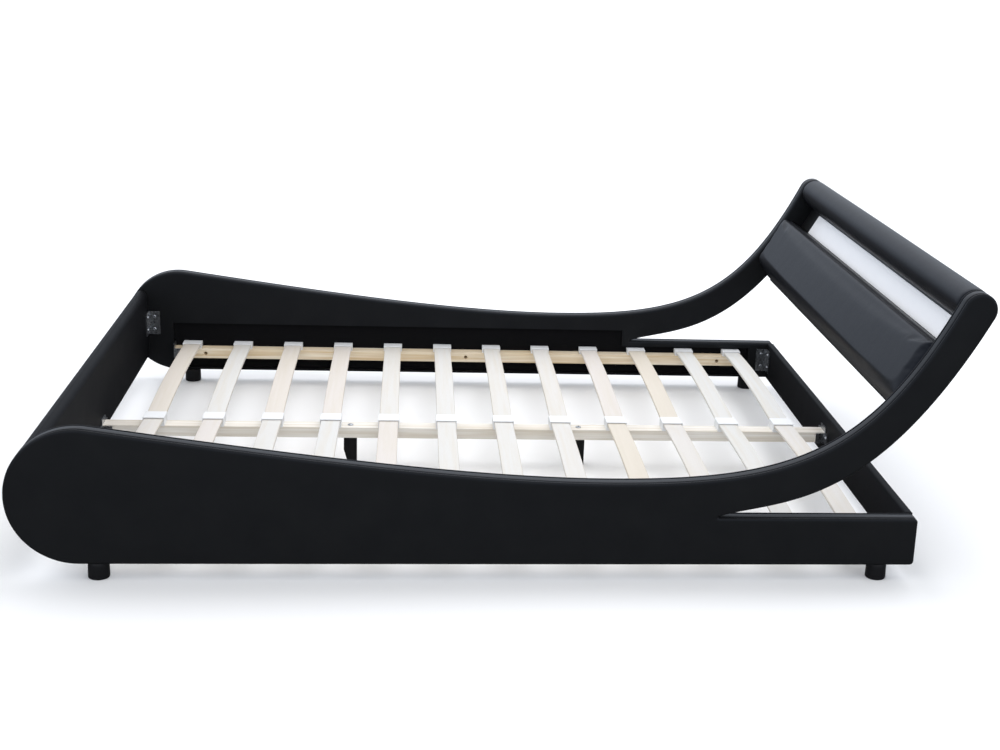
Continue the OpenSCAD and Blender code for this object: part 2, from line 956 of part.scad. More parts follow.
// a short lead from the strip's end to the socket's neck
module led_lead() {
    lead_d = 2;
    color("#0d0d0e")
        on_headboard()
        translate([0, hb_board_v - 2 * fit - lead_d / 2, light_mid])
        x_cylinder(strip_half + fit, diffuser_half - inlet_in - inlet_neck_d / 2 - fit, lead_d);
}

module headboard_bolts() {
    color("#9aa0a8") {
        headboard_bolt(0);
        other_side()
            headboard_bolt(0);
    }
}

side_cover_left();
side_cover_right();
side_board_left();
side_board_right();
side_lining_left();
side_lining_right();
ledger_left();
ledger_right();
ledger_screws();
ledger_end_clips();
foot_rail_cover();
foot_rail_board();
head_rail_cover();
head_rail_board();
corner_bracket_foot_left();
corner_bracket_foot_right();
corner_bracket_head_left();
corner_bracket_head_right();
corner_bolts();
centre_rail();
rail_bracket_foot();
rail_bracket_head();
rail_bracket_screws();
centre_leg_foot();
centre_leg_head();
centre_leg_bolts();
slat_caps_left();
slat_caps_right();
slat_holders();
foot_front_left();
foot_front_right();
foot_rear_left();
foot_rear_right();
foot_studs();
headboard_frame();
headboard_roll();
headboard_cushion();
headboard_rear_cover();
recess_liner();
light_diffuser();
led_strip();
led_lead();
power_inlet();
headboard_bolts();
for (i = [1 : slat_rows])
    slat_row(i - 1);
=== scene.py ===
# %% [markdown]
# # A sleigh bed in black faux leather
#
# The bed is a wooden frame under foam and black polyurethane leather. Two wave-shaped side
# panels carry a leaning headboard with a lit recess, and two rows of sprung birch slats lie
# between them. The frame comes packed from the CAD model, in metres, with +Z up, +Y towards
# the head end and +X across the width. Everything here is drawn round that frame: sizes are
# read from its parts, so each soft cover lands where its CAD solid is.

# %% Load the frame and keep its box
import math

import bmesh
import bpy
import numpy as np
from mathutils import Matrix, Vector


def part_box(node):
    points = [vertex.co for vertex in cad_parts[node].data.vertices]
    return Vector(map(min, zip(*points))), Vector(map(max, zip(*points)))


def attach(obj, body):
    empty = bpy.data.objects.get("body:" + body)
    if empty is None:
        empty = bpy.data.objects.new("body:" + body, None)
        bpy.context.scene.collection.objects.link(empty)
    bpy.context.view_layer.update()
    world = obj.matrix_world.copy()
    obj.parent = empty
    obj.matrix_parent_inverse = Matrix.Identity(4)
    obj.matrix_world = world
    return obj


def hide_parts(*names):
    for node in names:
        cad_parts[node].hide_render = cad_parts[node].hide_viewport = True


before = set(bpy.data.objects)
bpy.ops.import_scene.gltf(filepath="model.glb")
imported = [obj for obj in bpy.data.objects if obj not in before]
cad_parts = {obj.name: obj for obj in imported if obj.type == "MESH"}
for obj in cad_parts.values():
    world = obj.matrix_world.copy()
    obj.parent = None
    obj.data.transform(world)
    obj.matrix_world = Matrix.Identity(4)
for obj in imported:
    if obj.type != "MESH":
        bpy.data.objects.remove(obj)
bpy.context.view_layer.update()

MM = 0.001
print("nodes in the frame:", len(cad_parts))

# %% [markdown]
# ## Sizes that every piece shares
#
# The box of each CAD part gives the places. Only what a box can't say, such as a radius or
# the length of a curve's handle, is written here as a value.

# %% Places read from the frame
def corners(node):
    """A CAD node's lowest and highest corner, as two numpy arrays."""
    low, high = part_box(node)
    return np.array(low), np.array(high)


panel_low, panel_high = corners("side_cover_right")
head_low, head_high = corners("head_rail_cover")
foot_high = corners("foot_rail_cover")[1]
half_in, half_out = panel_low[0], panel_high[0]
base_z = panel_low[2]
head_in, head_end, rail_top = head_low[1], head_high[1], head_high[2]
foot_in, foot_top = foot_high[1], foot_high[2]

lobe_r = 163 * MM
bulb_r = 41 * MM
lobe = np.array([panel_low[1] + lobe_r, base_z + lobe_r])
bulb = np.array([panel_high[1] - bulb_r, panel_high[2] - bulb_r])
print("inner width", 2 * half_in, "lobe", lobe, "bulb", bulb)

# %% [markdown]
# ## Curves
#
# An upholsterer cuts the panel from a paper pattern drawn with arcs and long free curves.
# A Blender curve object could hold that pattern, but its points would then be handles in a
# file, with no sizes to read. So arcs, cubic Bezier curves and rounded corners are each
# worked out as one array of points [y, z], from radii and angles that have names.

# %% Arcs, free curves and rounded corners
def ray(angle):
    """The direction at an angle in degrees: its cosine and its sine."""
    return np.array([math.cos(math.radians(angle)), math.sin(math.radians(angle))])


def arc(centre, radius, start, end, steps):
    """Points on a circle: centre plus radius times cosine and sine, for even steps of angle."""
    a = np.radians(np.linspace(start, end, steps + 1))[:, None]
    return centre + radius * np.hstack([np.cos(a), np.sin(a)])


def bezier(a, b, c, d, steps):
    """A cubic curve: (1-t)^3 a + 3 (1-t)^2 t b + 3 (1-t) t^2 c + t^3 d, for even steps of t."""
    t = np.linspace(0, 1, steps + 1)[:, None]
    s = 1 - t
    return s**3 * a + 3 * s * s * t * b + 3 * s * t * t * c + t**3 * d


def fillet(before, corner, after, radius, steps=6):
    """The arc that rounds a corner: it touches both sides at radius / tan(half the angle)
    from the corner, and its centre lies on the bisector at radius / sin(half the angle)."""
    u = (before - corner) / np.linalg.norm(before - corner)
    w = (after - corner) / np.linalg.norm(after - corner)
    half = math.acos(float(u @ w)) / 2
    centre = corner + (u + w) / np.linalg.norm(u + w) * radius / math.sin(half)
    s = corner + u * radius / math.tan(half) - centre
    e = corner + w * radius / math.tan(half) - centre
    turn = math.atan2(s[0] * e[1] - s[1] * e[0], float(s @ e))
    a = np.linspace(0, turn, steps + 1)[:, None]
    return centre + np.cos(a) * s + np.sin(a) * np.array([-s[1], s[0]])


def rounded(points, radii, steps=6):
    """A closed polygon with every corner rounded by its own radius."""
    p = np.array(points, float)
    return np.vstack([fillet(p[i - 1], p[i], p[(i + 1) % len(p)], r, steps)
                      for i, r in enumerate(radii)])


print("half a circle in 4 steps has", len(arc(np.zeros(2), 1.0, 0, 180, 4)), "points")

# %% The side panel's outline
# handle lengths of the free curves, in the order in which the outline meets them
wave_from_lobe, wave_to_dip, arm_from_dip, arm_to_bulb = 0.430, 0.335, 0.443, 0.424
back_from_bulb, back_to_fork = 0.565, 0.150
lobe_leave, arm_front, arm_back, fork_slope = 82, 64, 63, 20
dip = np.array([head_end - 0.746, 0.246])
fork = np.array([head_end - 0.500, rail_top])
corner_r = 10 * MM
fork_r = 2 * MM

lobe_arc = arc(lobe, lobe_r, 270, lobe_leave, 64)
bulb_arc = arc(bulb, bulb_r, arm_front + 90, arm_back - 90, 32)
wave = bezier(lobe_arc[-1], lobe_arc[-1] + wave_from_lobe * ray(lobe_leave - 90),
              dip - [wave_to_dip, 0], dip, 40)
rise = bezier(dip, dip + [arm_from_dip, 0],
              bulb_arc[0] - arm_to_bulb * ray(arm_front), bulb_arc[0], 48)
back = bezier(bulb_arc[-1], bulb_arc[-1] - back_from_bulb * ray(arm_back),
              fork + back_to_fork * ray(fork_slope), fork, 48)
tip = fillet(fork + ray(fork_slope), fork, fork + [1, 0], fork_r, 8)
back = back[np.linalg.norm(back - fork, axis=1) > np.linalg.norm(tip[0] - fork) * 1.2]
rail_corner = np.array([head_end, rail_top])
low_corner = np.array([head_end, base_z])
outline = np.vstack([
    lobe_arc[:-1], wave[:-1], rise[:-1], bulb_arc[:-1], back, tip,
    fillet(fork, rail_corner, low_corner, corner_r),
    fillet(rail_corner, low_corner, lobe_arc[0], corner_r),
])
print("points round a side panel:", len(outline))

# %% [markdown]
# ## From curves to skins
#
# Foam under leather has no sharp edge: the skin turns over each edge in a small round, and
# the sewn seam pulls a fine groove beside it. A plate with a Bevel modifier would get the
# round but not the groove. So the plate is one grid: one direction runs round the outline,
# the other walks across the edge through a few rings, each a copy of the outline that is
# moved inwards a little. Two flat faces close the ends.

# %% Grid skins
def skin(outline, rings):
    """A grid of points: ring i is the outline moved inwards by inset i, at its own x.
    Inwards is square to the way from the point before to the point after."""
    p = np.asarray(outline)
    after = np.roll(p, -1, 0)
    along = after - np.roll(p, 1, 0)
    side = np.stack([along[:, 1], -along[:, 0]], 1) / np.linalg.norm(along, axis=1)[:, None]
    area = (p[:, 0] * after[:, 1] - p[:, 1] * after[:, 0]).sum()
    x, inset = np.asarray(rings, float).T
    yz = p[None] - np.sign(area) * inset[:, None, None] * side[None]
    xs = np.broadcast_to(x[:, None, None], (len(x), len(p), 1))
    return np.concatenate([xs, yz], 2)


def closed_faces(grid, first=0):
    """Quads between neighbouring rings, and one flat face on the first and the last ring."""
    rings, around = grid.shape[:2]
    k = np.arange(rings * around).reshape(rings, around) + first
    turned = np.roll(k, -1, 1)
    quads = np.stack([k[:-1], turned[:-1], turned[1:], k[1:]], -1).reshape(-1, 4)
    return quads.tolist() + [k[0][::-1].tolist(), k[-1].tolist()]


def mesh_of(name, grids):
    """One mesh of one or more closed grids, with every face turned outwards."""
    faces, first = [], 0
    for g in grids:
        faces += closed_faces(g, first)
        first += g.shape[0] * g.shape[1]
    mesh = bpy.data.meshes.new(name)
    mesh.from_pydata(np.concatenate([g.reshape(-1, 3) for g in grids]).tolist(), [], faces)
    work = bmesh.new()
    work.from_mesh(mesh)
    bmesh.ops.recalc_face_normals(work, faces=work.faces)
    work.to_mesh(mesh)
    work.free()
    return mesh


def piece(name, mesh, finish, stands_for=(), smooth=35):
    """A new piece that rides on the bed, smooth except where it turns by more than an angle."""
    obj = bpy.data.objects.new(name, mesh)
    bpy.context.scene.collection.objects.link(obj)
    mesh.materials.clear()
    mesh.materials.append(finish)
    mesh.shade_smooth()
    mesh.set_sharp_from_angle(angle=math.radians(smooth))
    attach(obj, "root")
    if stands_for:
        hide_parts(*stands_for)
    return obj


print("a skin of 2 rings of 4 points has", len(closed_faces(np.zeros((2, 4, 3)))), "faces")

# %% [markdown]
# ## Finishes
#
# Each finish is a small node graph on a Principled shader. The pattern of each reads the
# object's own coordinates in metres, so a scale is one over a real size. An image would show
# more, but it needs unwrapping and repeats; a noise costs nothing and never does. Colours are
# given as the hex values of a paint chart, and one function turns them to linear.

# %% Two helpers for every material
def colour(hex_value):
    """Linear colour of an sRGB hex value: v / 12.92 when dark, else ((v + 0.055) / 1.055)^2.4."""
    v = np.array([int(hex_value[i:i + 2], 16) for i in (1, 3, 5)]) / 255
    return (*np.where(v <= 0.04045, v / 12.92, ((v + 0.055) / 1.055) ** 2.4).tolist(), 1.0)


def add(tree, kind, inputs=None, **settings):
    """Adds a node. Each input takes a value or the output that feeds it."""
    node = tree.nodes.new("ShaderNode" + kind)
    for key, value in settings.items():
        setattr(node, key, value)
    for key, value in (inputs or {}).items():
        if isinstance(value, bpy.types.NodeSocket):
            tree.links.new(value, node.inputs[key])
        else:
            node.inputs[key].default_value = value
    return node


def new_finish(name, values):
    """An empty material with a Principled shader, and the object's coordinates."""
    finish = bpy.data.materials.new(name)
    finish.use_nodes = True
    tree = finish.node_tree
    tree.nodes.clear()
    shader = add(tree, "BsdfPrincipled", values)
    add(tree, "OutputMaterial", {"Surface": shader.outputs["BSDF"]})
    place = add(tree, "TexCoord").outputs["Object"]
    return finish, tree, shader, place


# %% [markdown]
# ### Faux leather
#
# Polyurethane leather is a knitted cloth under a thin skin, embossed by a hot roller. The
# skin's pebbles are half a millimetre across, which gives a soft broken gloss, and the foam
# below lets it swell and dip slowly over a hand's width. Its gloss is tinted cool, which is
# a painted cool sheen. Real displacement of the pebbles would take millions of faces, so a
# bump draws them, and they are drawn about three times too coarse, or none would show from
# across a room.

# %% Faux leather
def faux_leather(name, dark, light, rough, shine=0.16, pebble=1.6 * MM, swell=90 * MM):
    """Colour: a slow noise mixes two near-blacks. Bump: small cells, then slow swellings."""
    finish, tree, shader, place = new_finish(name, {
        # the cool Specular Tint is a painted cool sheen: the tint of cool light, laid into the
        # gloss
        "Specular IOR Level": shine, "IOR": 1.5, "Specular Tint": colour("#d2def6"),
    })
    slow = add(tree, "TexNoise", {"Vector": place, "Scale": 1 / swell, "Detail": 3.0})
    cells = add(tree, "TexVoronoi", {"Vector": place, "Scale": 1 / pebble},
                feature="SMOOTH_F1")
    tone = add(tree, "Mix", {"Factor": slow.outputs["Fac"], "A": colour(dark),
                             "B": colour(light)}, data_type="RGBA")
    # the skin is rougher in the lines between its pebbles than on their tops
    gloss = add(tree, "MapRange", {"Value": cells.outputs["Distance"], "To Min": rough - 0.05,
                                   "To Max": rough + 0.08})
    skin_bump = add(tree, "Bump", {"Height": cells.outputs["Distance"], "Strength": 0.35,
                                   "Distance": 0.12 * MM})
    foam_bump = add(tree, "Bump", {"Height": slow.outputs["Fac"], "Strength": 0.5,
                                   "Distance": 2.0 * MM, "Normal": skin_bump.outputs["Normal"]})
    tree.links.new(tone.outputs["Result"], shader.inputs["Base Color"])
    tree.links.new(gloss.outputs["Result"], shader.inputs["Roughness"])
    tree.links.new(foam_bump.outputs["Normal"], shader.inputs["Normal"])
    return finish


leather = faux_leather("black_faux_leather", "#131313", "#191918", 0.40)
# this copy of the same leather is darker and cooler than the panels': painted shade and a painted
# cool sheen on the headboard pads
leather_soft_painted_shade_and_sheen = faux_leather("black_faux_leather_over_foam_painted_shade_and_sheen", "#0e0f12", "#131417", 0.42)
# the rails' faces are seen at a low angle, where a glossier skin would mirror the slats;
# this copy's base is also a little darker than the panels' leather, which is painted shade
# on the rails' faces
leather_flat_painted_shade = faux_leather("black_faux_leather_on_board_painted_shade", "#101011", "#161617", 0.60, 0.08)
print("leather finishes made")

# %% [markdown]
# ### Cloth lining
#
# The inside of each panel and the headboard's back are closed with thin non-woven cloth:
# short polypropylene fibres pressed to a felt. It has no gloss, only a faint mottle. A weave
# pattern would be wrong here, as the fibres lie every way, so a distorted noise is used. It
# is drawn coarser than the real fibres, which are too fine to show.

# %% Non-woven cloth
def pressed_felt(name, dark, light, fibre=1.2 * MM):
    """Colour and bump: a fine stretched noise stands for the pressed fibres."""
    finish, tree, shader, place = new_finish(name, {
        "Roughness": 0.95, "Specular IOR Level": 0.10, "Sheen Weight": 0.05,
    })
    fibres = add(tree, "TexNoise", {"Vector": place, "Scale": 1 / fibre, "Detail": 5.0,
                                    "Roughness": 0.7, "Distortion": 1.5})
    tone = add(tree, "Mix", {"Factor": fibres.outputs["Fac"], "A": colour(dark),
                             "B": colour(light)}, data_type="RGBA")
    bump = add(tree, "Bump", {"Height": fibres.outputs["Fac"], "Strength": 0.4,
                              "Distance": 0.2 * MM})
    tree.links.new(tone.outputs["Result"], shader.inputs["Base Color"])
    tree.links.new(bump.outputs["Normal"], shader.inputs["Normal"])
    return finish


lining_cloth = pressed_felt("black_nonwoven_cloth", "#050506", "#0c0c0e")
print("made", lining_cloth.name)

# %% [markdown]
# ### Timber
#
# Pine ledgers and rail, birch slats, plywood boards and stained legs all share one idea.
# Growth rings cut lengthwise look like long streaks. A wave texture would draw them, but as
# evenly as a ruler, so a noise is squeezed across the grain and stretched along it. A finer
# noise of the same kind draws the fibres.

# %% Timber with its grain along one axis
AXES = {"x": 0, "y": 1, "z": 2}


def grain(tree, place, axis, across, along, detail=4.0):
    """A noise whose scale is one over `along` on the grain's axis and one over `across`
    on the two others."""
    scale = [1 / across] * 3
    scale[AXES[axis]] = 1 / along
    stretched = add(tree, "Mapping", {"Vector": place, "Scale": scale})
    return add(tree, "TexNoise", {"Vector": stretched.outputs["Vector"], "Scale": 1.0,
                                  "Detail": detail, "Distortion": 0.4}).outputs["Fac"]


def timber(name, axis, pale, tan, rough, ring=9 * MM, specular=0.3):
    """Colour: streaks mix a pale and a tan wood, and fibres darken it a little."""
    finish, tree, shader, place = new_finish(name, {
        "Roughness": rough, "Specular IOR Level": specular,
    })
    streaks = grain(tree, place, axis, ring, 420 * MM)
    fibres = grain(tree, place, axis, 0.9 * MM, 45 * MM, 6.0)
    clear = add(tree, "MapRange", {"Value": streaks, "From Min": 0.35, "From Max": 0.68})
    wood = add(tree, "Mix", {"Factor": clear.outputs["Result"], "A": colour(pale),
                             "B": colour(tan)}, data_type="RGBA")
    fine = add(tree, "MapRange", {"Value": fibres, "From Min": 0.45, "From Max": 0.85,
                                  "To Max": 0.35})
    both = add(tree, "Mix", {"Factor": fine.outputs["Result"], "A": wood.outputs["Result"],
                             "B": colour(tan)}, data_type="RGBA")
    tree.links.new(both.outputs["Result"], shader.inputs["Base Color"])
    bump = add(tree, "Bump", {"Height": fibres, "Strength": 0.25, "Distance": 0.15 * MM})
    tree.links.new(bump.outputs["Normal"], shader.inputs["Normal"])
    return finish


pine_along_y = timber("planed_pine", "y", "#e6dac4", "#cdb38a", 0.60)
# the centre rail's pine is paler than the ledgers': painted light that offsets the shade of the
# slats over it
rail_pine_painted_light = timber("planed_pine_centre_rail_painted_light", "y", "#e6e2da", "#cfc5b4", 0.58)
plywood = timber("raw_plywood", "y", "#cdb285", "#a9865a", 0.75)
black_plywood = timber("black_stained_plywood", "x", "#0b0b0c", "#121213", 0.7)
stained_wood = timber("black_stained_wood", "z", "#0c0c0d", "#161617", 0.5)
print("timbers made, finishes so far:", len(bpy.data.materials))

# %% [markdown]
# ### Birch slats
#
# A slat is glued from thin birch veneers under pressure, in a bent mould, then coated. Its
# face shows one pale veneer, and no two halves have the same tone, so each half carries its
# own number in the attribute `tone`. Its edge shows the layers: `depth` says how far a
# point lies below the face, and dark glue lines return every 1.4 mm.

# %% Birch veneer
def birch_veneer(name, veneer_thick=1.4 * MM):
    """Colour: tone picks between white, tan and pink wood, streaks vary it, and the glue
    lines are the crests of sin(2 pi depth / veneer thickness)."""
    finish, tree, shader, place = new_finish(name, {
        "Roughness": 0.5, "Specular IOR Level": 0.35,
    })
    tone = add(tree, "Attribute", attribute_name="tone").outputs["Fac"]
    depth = add(tree, "Attribute", attribute_name="depth").outputs["Fac"]
    veneer = add(tree, "ValToRGB", {"Fac": tone})
    ramp = veneer.color_ramp
    ramp.elements[0].color = colour("#d1d0cc")
    ramp.elements[1].color = colour("#d2c9ba")
    ramp.elements.new(0.5).color = colour("#d1cec8")
    ramp.elements.new(0.8).color = colour("#d3ccc5")
    streaks = grain(tree, place, "x", 14 * MM, 380 * MM)
    fibres = grain(tree, place, "x", 0.8 * MM, 30 * MM, 6.0)
    warm = add(tree, "MapRange", {"Value": streaks, "From Min": 0.42, "From Max": 0.75,
                                  "To Max": 0.55})
    streaked = add(tree, "Mix", {"Factor": warm.outputs["Result"], "A": veneer.outputs["Color"],
                                 "B": colour("#ccc3b2")}, data_type="RGBA")
    lines = add(tree, "MapRange", {"Value": fibres, "From Min": 0.5, "From Max": 0.9,
                                   "To Max": 0.25})
    wood = add(tree, "Mix", {"Factor": lines.outputs["Result"], "A": streaked.outputs["Result"],
                             "B": colour("#b5a68a")}, data_type="RGBA")
    layer = add(tree, "Math", {0: depth, 1: 2 * math.pi / veneer_thick}, operation="MULTIPLY")
    wave_of = add(tree, "Math", {0: layer.outputs["Value"]}, operation="SINE")
    glue = add(tree, "MapRange", {"Value": wave_of.outputs["Value"], "From Min": 0.55,
                                  "To Max": 0.45})
    faced = add(tree, "Mix", {"Factor": glue.outputs["Result"], "A": wood.outputs["Result"],
                              "B": colour("#a98a5e")}, data_type="RGBA")
    tree.links.new(faced.outputs["Result"], shader.inputs["Base Color"])
    bump = add(tree, "Bump", {"Height": fibres, "Strength": 0.2, "Distance": 0.1 * MM})
    tree.links.new(bump.outputs["Normal"], shader.inputs["Normal"])
    return finish


birch = birch_veneer("birch_veneer")
print("made", birch.name)

# %% [markdown]
# ### Plastic and metal
#
# Moulded polypropylene takes the fine erosion of its steel mould, which blurs the gloss, and
# acrylic stays smooth. Zinc plating on sheet steel has a grey spangle, and the screws have a
# yellow passivated coat. All of these are one idea, an even colour with a fine mottle in
# tone, gloss and height, so one function makes them from the size of the mottle.

# %% Moulded plastic and plated steel
def mottled(name, dark, light, size, rough, spread, bump_depth, values):
    """Colour and roughness follow one noise whose cells have a real size."""
    finish, tree, shader, place = new_finish(name, values)
    noise = add(tree, "TexNoise", {"Vector": place, "Scale": 1 / size, "Detail": 4.0})
    gloss = add(tree, "MapRange", {"Value": noise.outputs["Fac"], "To Min": rough - spread,
                                   "To Max": rough + spread})
    bump = add(tree, "Bump", {"Height": noise.outputs["Fac"], "Strength": 0.3,
                              "Distance": bump_depth})
    tone = add(tree, "Mix", {"Factor": noise.outputs["Fac"], "A": colour(dark),
                             "B": colour(light)}, data_type="RGBA")
    tree.links.new(tone.outputs["Result"], shader.inputs["Base Color"])
    tree.links.new(gloss.outputs["Result"], shader.inputs["Roughness"])
    tree.links.new(bump.outputs["Normal"], shader.inputs["Normal"])
    return finish


white_plastic = mottled("white_polypropylene", "#dcdddd", "#e6e6e5", 2 * MM, 0.42, 0.08,
                        0.05 * MM, {"IOR": 1.49})
black_plastic = mottled("black_polypropylene", "#0a0a0b", "#121214", 1.5 * MM, 0.45, 0.10,
                        0.08 * MM, {"IOR": 1.49, "Specular IOR Level": 0.3})
opal = mottled("opal_acrylic", "#f2f1f1", "#f6f5f4", 60 * MM, 0.30, 0.03, 0.02 * MM,
               {"IOR": 1.49})
circuit = mottled("white_solder_mask", "#e6e2d2", "#f2efe2", 6 * MM, 0.35, 0.08, 0.02 * MM, {})
zinc = mottled("zinc_plated_steel", "#5e6165", "#d6d9dc", 6 * MM, 0.30, 0.14, 0.10 * MM,
               {"Metallic": 1.0})
yellow_zinc = mottled("yellow_passivated_steel", "#7d6540", "#a08554", 3 * MM, 0.35, 0.10,
                      0.03 * MM, {"Metallic": 1.0})
print("finishes:", len(bpy.data.materials))

# %% [markdown]
# ## Side panels
#
# Each panel is plywood with foam glued round it and a leather cover of three pieces: two
# faces and a band that runs round the edge. Where the band is sewn to a face, the seam
# pulls in a fine groove a few millimetres from the corner. Cloth simulation would lose that
# groove in its remesh, and leather this taut hardly swells, so the section is listed point
# by point: the rings below walk from one face over its rounded corner, through the groove,
# across the band, and back. The lower inner face is left open in the leather and closed with
# cloth, so a pocket is cut there.

# %% The section across a panel's edge
# distance from the face, and inset from the outline, in mm, from a face to the band's middle
EDGE = [(0, 9), (0.1, 6.4), (0.4, 4.6), (1.0, 3.0), (1.9, 1.6), (3.2, 0.6), (4.8, 0.1),
        (6.0, 0.4), (7.2, 1.6), (8.2, 3.8), (9.0, 4.9), (9.8, 4.1), (10.8, 2.0), (12.0, 0.7),
        (14, 0.2), (17, 0.05), (20, 0)]


def edge_rings(x_low, x_high, edge):
    """The edge section laid off from one face, and its mirror image from the other."""
    e = np.array(edge) * MM
    near = np.stack([x_low + e[:, 0], e[:, 1]], 1)
    far = np.stack([x_high - e[:, 0], e[:, 1]], 1)[::-1]
    return np.vstack([near, far])


def evaluated(obj):
    """A copy of the object's mesh with its modifiers applied."""
    graph = bpy.context.evaluated_depsgraph_get()
    return bpy.data.meshes.new_from_object(obj.evaluated_get(graph))


def cut(mesh, tool_mesh):
    """The first mesh with the second one taken away."""
    body = bpy.data.objects.new("cut_body", mesh)
    tool = bpy.data.objects.new("cut_tool", tool_mesh)
    for o in (body, tool):
        bpy.context.scene.collection.objects.link(o)
    take = body.modifiers.new("take", "BOOLEAN")
    take.operation, take.object, take.solver = "DIFFERENCE", tool, "EXACT"
    result = evaluated(body)
    for o in (body, tool):
        bpy.data.objects.remove(o)
    return result


# %% The pocket for the cloth
lining_low, lining_high = corners("side_lining_right")
play = 0.2 * MM
# the cloth's upper edge steps down before the fork, to this height above the floor
step_y = fork[0] - 20 * MM
step_z = 143 * MM
pocket_outline = np.array([
    [lining_low[1] - play, lining_low[2] - play],
    [lining_low[1] - play, lining_high[2] + play],
    [step_y, lining_high[2] + play],
    [step_y, step_z],
    [lining_high[1] + play, step_z],
    [lining_high[1] + play, lining_low[2] - play],
])

# %% Both panels
panel_grid = skin(outline, edge_rings(half_in, half_out, EDGE))
past_face = 10 * MM
pocket_grid = skin(pocket_outline, [(half_in - past_face, 0), (lining_high[0] + play, 0)])
print("pocket", round(float(lining_high[0] - lining_low[0]) * 1000, 1), "mm deep")
for side, sign in (("right", 1), ("left", -1)):
    flip = np.array([sign, 1, 1])
    panel = cut(mesh_of("side_panel_" + side, [panel_grid * flip]),
                mesh_of("pocket_" + side, [pocket_grid * flip]))
    panel.name = "side_panel_" + side
    pad = piece("side_panel_" + side, panel, leather, ["side_cover_" + side])
    print(pad.name, "faces", len(panel.polygons))

# %% [markdown]
# ## Foot rail and head rail
#
# The foot rail follows the round lobes outside and is flat inside, so its section is a D
# with a soft upper edge. The head rail is a thin board with leather stretched over it. A
# bevelled box would give neither section, so both are a rounded outline carried from one
# panel to the other. The end rings turn the leather in where it meets a panel.

# %% How a rail's leather turns in at its ends
rail_end = half_in - 0.3 * MM
# distance from the end, and inset, in mm: thick foam first, then leather on a bare board
END = [(0, 4), (0.8, 1.8), (2.0, 0.6), (4.0, 0.1), (10, 0)]
THIN_END = [(0, 1.4), (0.4, 0.6), (1.0, 0.2), (2.5, 0), (10, 0)]
rail_rings = edge_rings(-rail_end, rail_end, END)
thin_rings = edge_rings(-rail_end, rail_end, THIN_END)
print("rails are", round(2 * float(rail_end), 4), "m long")

# %% Foot rail
foot_r = lobe_r - 1 * MM
low_z = lobe[1] - math.sqrt(foot_r**2 - (lobe[0] - foot_in) ** 2)
top_y = lobe[0] - math.sqrt(foot_r**2 - (foot_top - lobe[1]) ** 2)
low_angle = math.degrees(math.atan2(low_z - lobe[1], foot_in - lobe[0]))
top_angle = math.degrees(math.atan2(foot_top - lobe[1], top_y - lobe[0])) - 360
inner_top = np.array([foot_in, foot_top])
inner_low = np.array([foot_in, low_z])
outer_corner = np.array([top_y, foot_top])
# degrees that the arc leaves free at its ends, where the corners are rounded instead, and
# how far before the outer corner the skin starts to head for it
free_low, free_top, heading = 4, 6, 4
outer_low = lobe + foot_r * ray(low_angle - free_low)
outer_top = lobe + foot_r * ray(top_angle + heading)
soft_top, soft_low = 22 * MM, 7 * MM
foot_outline = np.vstack([
    arc(lobe, foot_r, low_angle - free_low, top_angle + free_top, 44),
    fillet(outer_top, outer_corner, inner_top, soft_top, 6),
    fillet(outer_corner, inner_top, inner_low, soft_top, 12),
    fillet(inner_top, inner_low, outer_low, soft_low, 5),
])
foot_pad = piece("foot_rail_pad", mesh_of("foot_rail_pad", [skin(foot_outline, rail_rings)]),
                 leather_flat_painted_shade, ["foot_rail_cover"])
print("foot rail points", len(foot_outline))

# %% Head rail
head_outline = rounded([[head_in, base_z], [head_in, rail_top], [head_end, rail_top],
                        [head_end, base_z]], [4 * MM] * 4)
head_pad = piece("head_rail_pad", mesh_of("head_rail_pad", [skin(head_outline, thin_rings)]),
                 leather_flat_painted_shade, ["head_rail_cover"])
print("head rail points", len(head_outline))

# %% [markdown]
# ## Headboard: roll and cushion
#
# The roll is a tube of soft foam round a rail, and the cushion is a foam slab on a board.
# Both start as a closed skin that is a little too small. It is remeshed to even squares and
# blown up as cloth with a small inner pressure and no gravity, so the leather rounds out
# between the places where it is held. How far a point may move is capped, which keeps the
# pads inside their space. The headboard leans back, so the outlines are drawn upright, as
# [depth, height], and turned into place afterwards.

# %% The headboard's own directions
lean = math.radians(30)
depth_way = np.array([0, math.cos(lean), -math.sin(lean)])
up_way = np.array([0, math.sin(lean), math.cos(lean)])
roll_axis = np.array([0, bulb[0], bulb[1]])
board_depth = 32.6 * MM


def leaning(grid):
    """Turns [x, depth, height] points into the bed's frame, round the roll's axis."""
    g = np.asarray(grid)
    return g[..., :1] * [1, 0, 0] + g[..., 1:2] * depth_way + g[..., 2:] * up_way + roll_axis


def local(points):
    """The depth and height of points in the headboard's own directions."""
    q = np.asarray(points) - roll_axis
    return q @ depth_way, q @ up_way


# %% Blow up a skin as cloth
def coordinates(mesh):
    """A mesh's points as one array."""
    co = np.empty(len(mesh.vertices) * 3, np.float32)
    mesh.vertices.foreach_get("co", co)
    return co.reshape(-1, 3).astype(float)


def evened(mesh, voxel, rounds=4):
    """The mesh rebuilt from even squares, with the steps between them smoothed away."""
    obj = bpy.data.objects.new("evened", mesh)
    bpy.context.scene.collection.objects.link(obj)
    squares = obj.modifiers.new("squares", "REMESH")
    squares.mode, squares.voxel_size = "VOXEL", voxel
    result = evaluated(obj)
    bpy.data.objects.remove(obj)
    work = bmesh.new()
    work.from_mesh(result)
    for _ in range(rounds):
        bmesh.ops.smooth_vert(work, verts=work.verts, factor=0.5, use_axis_x=True,
                              use_axis_y=True, use_axis_z=True)
    work.to_mesh(result)
    work.free()
    return result


